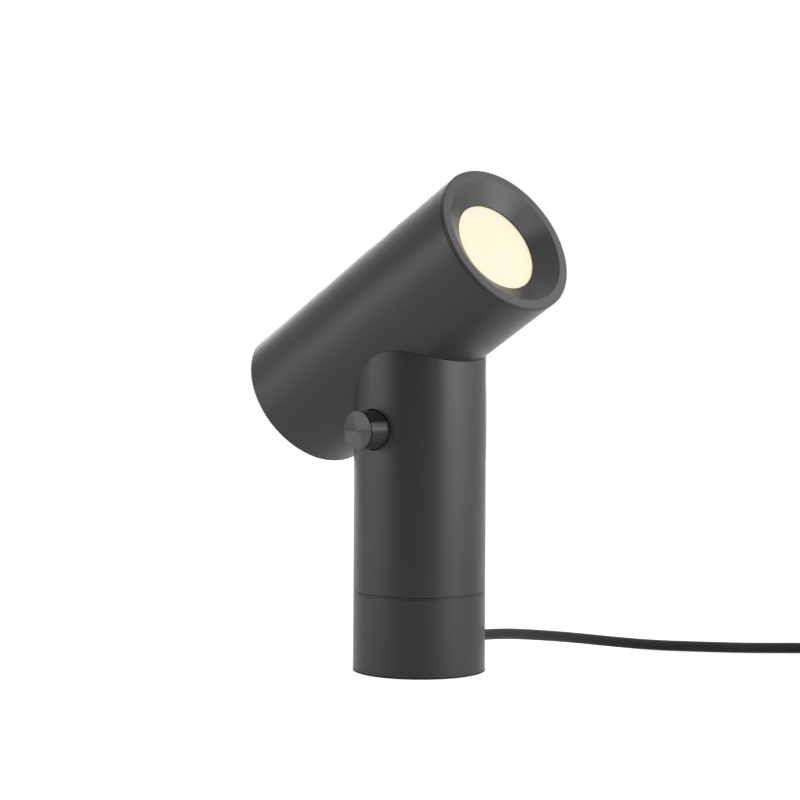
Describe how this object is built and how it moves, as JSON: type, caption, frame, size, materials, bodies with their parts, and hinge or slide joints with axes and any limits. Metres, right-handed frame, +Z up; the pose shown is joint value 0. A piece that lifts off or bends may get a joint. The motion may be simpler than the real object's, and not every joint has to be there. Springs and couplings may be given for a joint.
{
  "type": "searchlight_table_lamp",
  "caption": "Tabletop searchlight lamp: a tilted grey cylinder head saddled on an upright column that turns on a weighted base, with a black push-and-turn knob and a black textile lead",
  "frame": {"origin": "centre of the foot pad's underside, on the surface the lamp stands on", "axes": "+Z up, +X the way the head points, the knob faces -Y and the lead leaves at +Y"},
  "size_m": [0.3464, 0.3046, 0.2741],
  "materials": {
    "body_paint": "satin",
    "cast_aluminium": "matte",
    "turned_steel": "satin",
    "black_rubber": "matte",
    "zinc_steel": "satin",
    "grey_iron": "matte",
    "screw_steel": "satin",
    "white_acetal": "matte",
    "spring_steel": "satin",
    "black_plastic": "matte",
    "cord_textile": "matte",
    "white_plastic": "matte",
    "core_insulation": "satin",
    "turned_brass": "satin",
    "circuit_board": "satin",
    "knob_black": "satin",
    "bare_aluminium": "satin",
    "led_phosphor": "satin",
    "opal_glass": "satin",
    "plated_brass": "polished"
  },
  "bodies": {
    "base": {"base_casing": "body_paint", "foot_pad": "black_rubber", "base_plate": "zinc_steel", "base_weight": "grey_iron", "base_screws": "screw_steel", "glide_ring": "white_acetal", "friction_washer": "white_acetal", "cord_gland": "black_plastic", "gland_nut": "black_plastic", "inner_cord": "cord_textile", "cord_clamp": "black_plastic", "clamp_screws": "screw_steel", "terminal_block": "white_plastic", "cord_cores": "core_insulation", "cord_run": "cord_textile", "cord_coil": "cord_textile", "cord_tail": "cord_textile", "plug_body": "black_plastic", "plug_pins": "plated_brass"},
    "upper": {"column_tube": "body_paint", "head_tube": "body_paint", "front_bezel": "body_paint", "rear_cap": "body_paint", "saddle_block": "cast_aluminium", "column_foot": "turned_steel", "disc_spring": "spring_steel", "swivel_nut": "turned_steel", "stop_pin": "turned_steel", "tie_rods": "screw_steel", "chassis_plate": "zinc_steel", "chassis_screws": "screw_steel", "led_driver": "white_plastic", "driver_screws": "screw_steel", "dimmer_bracket": "zinc_steel", "dimmer_housing": "turned_brass", "dimmer_nut": "turned_brass", "dimmer_board": "circuit_board", "supply_wires": "core_insulation", "saddle_clamp": "cast_aluminium", "head_screws": "screw_steel", "wire_grommet": "black_rubber", "engine_bracket": "zinc_steel", "bracket_screws": "screw_steel", "heat_sink": "bare_aluminium", "led_board": "circuit_board", "board_screws": "screw_steel", "cob_led": "led_phosphor", "mixing_cup": "white_plastic", "front_diffuser": "opal_glass", "bezel_ring": "black_rubber", "cap_ring": "black_rubber", "led_wires": "core_insulation"},
    "switch_slider": {"switch_slider": "white_acetal"},
    "knob": {"knob": "knob_black", "knob_shaft": "turned_steel", "knob_grub_screw": "screw_steel"}
  },
  "joints": [
    {"name": "base_swivel", "type": "hinge", "parent": "base", "child": "upper", "pos_m": [0, 0, 0.0443], "axis": [0, 0, 1], "range_deg": [-165, 165]},
    {"name": "knob_push", "type": "slide", "parent": "upper", "child": "switch_slider", "axis": [0, 1, 0], "range_m": [0, 0.0015], "stiffness_N_per_m": 1200, "springref_m": -0.0006},
    {"name": "knob_turn", "type": "hinge", "parent": "switch_slider", "child": "knob", "pos_m": [0, -0.048, 0.1346], "axis": [0, -1, 0], "range_deg": [-150, 150]}
  ]
}
